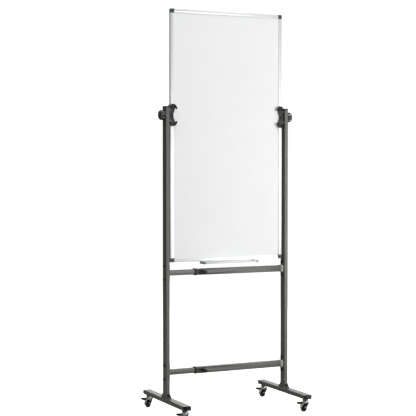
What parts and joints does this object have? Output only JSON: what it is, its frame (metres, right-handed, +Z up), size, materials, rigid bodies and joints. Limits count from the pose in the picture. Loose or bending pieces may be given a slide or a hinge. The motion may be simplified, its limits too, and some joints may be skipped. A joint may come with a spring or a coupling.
{
  "type": "rolling whiteboard",
  "caption": "Two-sided whiteboard that turns over between the posts of a width-adjustable wheeled stand, with clamp knobs, a pen tray and braked swivel casters.",
  "frame": {"origin": "on the floor at the centre of the stand's footprint", "axes": "+Z up, +X across the board to its right, the writing side with the pen tray faces -Y"},
  "size_m": [0.707, 0.4845, 1.931],
  "materials": {
    "stand_paint": "satin",
    "bracket_paint": "satin",
    "black_plastic": "satin",
    "blackened_steel": "satin",
    "jaw_nylon": "satin",
    "white_enamel": "gloss",
    "honeycomb_board": "matte",
    "anodised_aluminium": "satin",
    "tray_lacquer": "satin",
    "slate_plastic": "satin",
    "zinc_plate": "satin",
    "wheel_plastic": "satin"
  },
  "bodies": {
    "left_frame": {"left_post": "stand_paint", "left_foot": "stand_paint", "left_socket": "stand_paint", "left_plugs": "black_plastic", "left_bolts": "blackened_steel", "left_stems": "zinc_plate", "upper_inner_bar": "stand_paint", "lower_inner_bar": "stand_paint", "inner_bar_glides": "black_plastic"},
    "right_frame": {"right_post": "stand_paint", "right_foot": "stand_paint", "right_socket": "stand_paint", "right_plugs": "black_plastic", "right_bolts": "blackened_steel", "right_stems": "zinc_plate", "upper_outer_bar": "stand_paint", "lower_outer_bar": "stand_paint", "outer_bar_collars": "black_plastic", "outer_bar_brackets": "bracket_paint"},
    "upper_lock": {"upper_lock_knob": "black_plastic", "upper_lock_screw": "zinc_plate"},
    "lower_lock": {"lower_lock_knob": "black_plastic", "lower_lock_screw": "zinc_plate"},
    "board": {"front_sheet": "white_enamel", "back_sheet": "white_enamel", "panel_core": "honeycomb_board", "rail_left": "anodised_aluminium", "rail_right": "anodised_aluminium", "rail_top": "anodised_aluminium", "rail_bottom": "anodised_aluminium", "corner_caps": "slate_plastic", "board_screws": "blackened_steel", "pen_tray": "tray_lacquer", "tray_end_caps": "slate_plastic", "left_clamp_jaws": "jaw_nylon", "left_clamp_hooks": "black_plastic", "left_clamp_bolts": "zinc_plate", "left_set_screws": "blackened_steel"},
    "right_clamp": {"right_clamp_jaws": "jaw_nylon", "right_clamp_hooks": "black_plastic", "right_clamp_bolts": "zinc_plate", "right_set_screws": "blackened_steel"},
    "left_knob": {"left_clamp_knob": "black_plastic"},
    "right_knob": {"right_clamp_knob": "black_plastic"},
    "front_left_swivel": {"front_left_fork": "zinc_plate", "front_left_axle": "zinc_plate"},
    "front_left_roller": {"front_left_wheel": "wheel_plastic"},
    "front_left_brake": {"front_left_pedal": "black_plastic"},
    "front_right_swivel": {"front_right_fork": "zinc_plate", "front_right_axle": "zinc_plate"},
    "front_right_roller": {"front_right_wheel": "wheel_plastic"},
    "front_right_brake": {"front_right_pedal": "black_plastic"},
    "back_left_swivel": {"back_left_fork": "zinc_plate", "back_left_axle": "zinc_plate"},
    "back_left_roller": {"back_left_wheel": "wheel_plastic"},
    "back_left_brake": {"back_left_pedal": "black_plastic"},
    "back_right_swivel": {"back_right_fork": "zinc_plate", "back_right_axle": "zinc_plate"},
    "back_right_roller": {"back_right_wheel": "wheel_plastic"},
    "back_right_brake": {"back_right_pedal": "black_plastic"}
  },
  "joints": [
    {"name": "width_slide", "type": "slide", "parent": "left_frame", "child": "right_frame", "axis": [1, 0, 0], "range_m": [0, 0.2]},
    {"name": "board_flip", "type": "hinge", "parent": "left_frame", "child": "board", "pos_m": [-0.31, 0, 1.429], "axis": [1, 0, 0], "continuous": true},
    {"name": "right_clamp_flip", "type": "hinge", "parent": "right_frame", "child": "right_clamp", "pos_m": [0.31, 0, 1.429], "axis": [1, 0, 0], "continuous": true},
    {"name": "left_knob_turn", "type": "hinge", "parent": "left_frame", "child": "left_knob", "pos_m": [-0.341, 0, 1.429], "axis": [-1, 0, 0], "range_deg": [0, 360]},
    {"name": "right_knob_turn", "type": "hinge", "parent": "right_frame", "child": "right_knob", "pos_m": [0.341, 0, 1.429], "axis": [1, 0, 0], "range_deg": [0, 360]},
    {"name": "upper_lock_turn", "type": "hinge", "parent": "right_frame", "child": "upper_lock", "pos_m": [-0.134, -0.018, 0.68171], "axis": [0, -1, 0], "range_deg": [0, 360]},
    {"name": "lower_lock_turn", "type": "hinge", "parent": "right_frame", "child": "lower_lock", "pos_m": [-0.134, -0.018, 0.208], "axis": [0, -1, 0], "range_deg": [0, 360]},
    {"name": "front_left_swivel_turn", "type": "hinge", "parent": "left_frame", "child": "front_left_swivel", "pos_m": [-0.32, -0.211, 0.0195], "axis": [0, 0, 1], "continuous": true},
    {"name": "front_left_wheel_spin", "type": "hinge", "parent": "front_left_swivel", "child": "front_left_roller", "pos_m": [-0.32, -0.195, 0.0195], "axis": [1, 0, 0], "continuous": true},
    {"name": "front_left_brake_press", "type": "hinge", "parent": "front_left_swivel", "child": "front_left_brake", "pos_m": [-0.32, -0.199, 0.0435], "axis": [-1, 0, 0], "range_deg": [0, 8]},
    {"name": "front_right_swivel_turn", "type": "hinge", "parent": "right_frame", "child": "front_right_swivel", "pos_m": [0.32, -0.211, 0.0195], "axis": [0, 0, 1], "continuous": true},
    {"name": "front_right_wheel_spin", "type": "hinge", "parent": "front_right_swivel", "child": "front_right_roller", "pos_m": [0.32, -0.195, 0.0195], "axis": [1, 0, 0], "continuous": true},
    {"name": "front_right_brake_press", "type": "hinge", "parent": "front_right_swivel", "child": "front_right_brake", "pos_m": [0.32, -0.199, 0.0435], "axis": [-1, 0, 0], "range_deg": [0, 8]},
    {"name": "back_left_swivel_turn", "type": "hinge", "parent": "left_frame", "child": "back_left_swivel", "pos_m": [-0.32, 0.211, 0.0195], "axis": [0, 0, 1], "continuous": true},
    {"name": "back_left_wheel_spin", "type": "hinge", "parent": "back_left_swivel", "child": "back_left_roller", "pos_m": [-0.32, 0.227, 0.0195], "axis": [1, 0, 0], "continuous": true},
    {"name": "back_left_brake_press", "type": "hinge", "parent": "back_left_swivel", "child": "back_left_brake", "pos_m": [-0.32, 0.223, 0.0435], "axis": [-1, 0, 0], "range_deg": [0, 8]},
    {"name": "back_right_swivel_turn", "type": "hinge", "parent": "right_frame", "child": "back_right_swivel", "pos_m": [0.32, 0.211, 0.0195], "axis": [0, 0, 1], "continuous": true},
    {"name": "back_right_wheel_spin", "type": "hinge", "parent": "back_right_swivel", "child": "back_right_roller", "pos_m": [0.32, 0.227, 0.0195], "axis": [1, 0, 0], "continuous": true},
    {"name": "back_right_brake_press", "type": "hinge", "parent": "back_right_swivel", "child": "back_right_brake", "pos_m": [0.32, 0.223, 0.0435], "axis": [-1, 0, 0], "range_deg": [0, 8]}
  ],
  "couplings": [
    {"joint": "right_clamp_flip", "follows": "board_flip", "ratio": 1}
  ]
}
